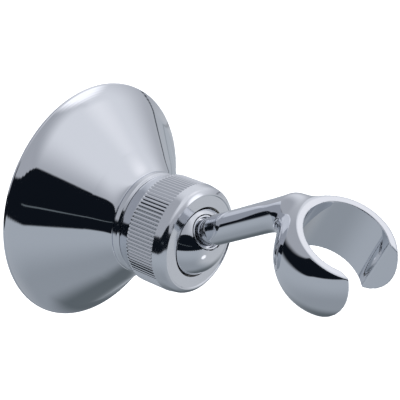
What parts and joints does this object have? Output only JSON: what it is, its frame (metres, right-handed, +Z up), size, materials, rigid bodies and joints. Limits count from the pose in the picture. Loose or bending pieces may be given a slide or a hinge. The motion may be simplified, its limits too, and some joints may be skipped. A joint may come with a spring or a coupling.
{
  "type": "hair dryer holder",
  "caption": "Wall rose with a clamped ball joint and a short arm that ends in an open round clip for a dryer or a hand piece.",
  "frame": {"origin": "centre of the wall plate's back face, on the wall", "axes": "+Z up the wall, -Y out from the wall along the rose's axis, +X to the right of a person who faces the wall"},
  "size_m": [0.077, 0.1123, 0.077],
  "materials": {
    "chrome_shell": "polished",
    "chrome_turned": "polished",
    "chrome_ball": "polished",
    "chrome_arm": "polished",
    "zinc": "matt plated zinc casting",
    "steel": "zinc plated",
    "seat_plastic": "satin acetal",
    "rubber": "matt"
  },
  "bodies": {
    "rose": {"wall_plate": "zinc", "centre_stud": "steel", "lock_nut": "steel", "lock_washer": "steel", "rim_gasket": "rubber", "rose_shell": "chrome_shell", "collar_ring": "chrome_turned", "socket": "chrome_turned", "disc_spring": "steel"},
    "seat": {"rear_seat": "seat_plastic"},
    "ball": {"ball": "chrome_ball"},
    "arm": {"neck_washer": "chrome_arm", "neck_stud": "chrome_arm", "arm_clip": "chrome_arm"},
    "seat_ring": {"front_seat": "seat_plastic"},
    "nut": {"clamp_nut": "chrome_turned"}
  },
  "joints": [
    {"name": "seat_swivel", "type": "hinge", "parent": "rose", "child": "seat", "pos_m": [0, -0.0403, 0], "axis": [0, -1, 0], "continuous": true},
    {"name": "ball_tilt", "type": "hinge", "parent": "seat", "child": "ball", "pos_m": [0, -0.0403, 0], "axis": [-0.9752, 0, -0.2213], "range_deg": [-70, 9]},
    {"name": "arm_spin", "type": "hinge", "parent": "ball", "child": "arm", "pos_m": [0, -0.0403, 0], "axis": [-0.1132, -0.8595, 0.4985], "continuous": true},
    {"name": "ring_travel", "type": "slide", "parent": "rose", "child": "seat_ring", "axis": [0, -1, 0], "range_m": [0, 0.0015]},
    {"name": "nut_turn", "type": "hinge", "parent": "seat_ring", "child": "nut", "pos_m": [0, -0.0403, 0], "axis": [0, -1, 0], "range_deg": [0, 360]}
  ],
  "couplings": [
    {"joint": "ring_travel", "follows": "nut_turn", "m_per_rad": 0.0002387}
  ]
}
